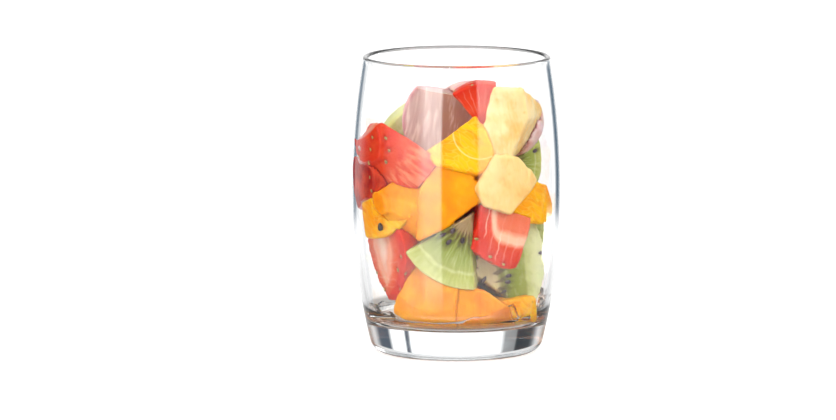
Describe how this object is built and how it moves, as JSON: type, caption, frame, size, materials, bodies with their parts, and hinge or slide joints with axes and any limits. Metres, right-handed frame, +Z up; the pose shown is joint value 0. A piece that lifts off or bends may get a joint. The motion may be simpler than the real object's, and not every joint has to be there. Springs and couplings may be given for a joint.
{
  "type": "fruit cup",
  "caption": "Clear barrel-shaped glass tumbler with a thick base, heaped with loose cut strawberry, kiwi, mango, orange, pineapple and red grape.",
  "frame": {"origin": "on the table at the middle of the tumbler's foot", "axes": "+Z up along the tumbler's axis, -Y towards the front that shows the kiwi wedge and the strawberry slice"},
  "size_m": [0.075, 0.075, 0.106],
  "materials": {
    "glass": "clear, polished",
    "strawberry": "wet cut flesh and skin",
    "kiwi": "wet cut flesh",
    "mango": "moist cut flesh",
    "orange": "wet cut flesh",
    "pineapple": "moist fibrous flesh",
    "grape": "wet cut flesh and skin"
  },
  "bodies": {
    "root": {"tumbler": "glass", "grape_half_right": "grape", "grape_half_top": "grape", "grape_half_upper_left": "grape", "kiwi_wedge_back": "kiwi", "kiwi_wedge_front": "kiwi", "kiwi_wedge_left_low": "kiwi", "kiwi_wedge_lower_right": "kiwi", "kiwi_wedge_right": "kiwi", "kiwi_wedge_right_low": "kiwi", "kiwi_wedge_upper_left": "kiwi", "mango_chunk_back_low": "mango", "mango_chunk_back_upper": "mango", "mango_chunk_bottom_left": "mango", "mango_chunk_bottom_middle": "mango", "mango_chunk_centre": "mango", "mango_chunk_core_low": "mango", "mango_chunk_right": "mango", "mango_slab_left": "mango", "orange_chunk_back": "orange", "orange_chunk_back_low": "orange", "orange_chunk_bottom_right": "orange", "orange_chunk_core_high": "orange", "orange_chunk_left": "orange", "orange_chunk_right": "orange", "orange_chunk_upper": "orange", "pineapple_chunk_back_top": "pineapple", "pineapple_chunk_core": "pineapple", "pineapple_chunk_left": "pineapple", "pineapple_chunk_middle": "pineapple", "pineapple_chunk_right_low": "pineapple", "pineapple_chunk_top": "pineapple", "strawberry_half_back": "strawberry", "strawberry_half_left": "strawberry", "strawberry_half_lower_left": "strawberry", "strawberry_half_right_back": "strawberry", "strawberry_piece_left_low": "strawberry", "strawberry_quarter_back_top": "strawberry", "strawberry_slice_front": "strawberry", "strawberry_wedge_top": "strawberry"}
  },
  "joints": []
}
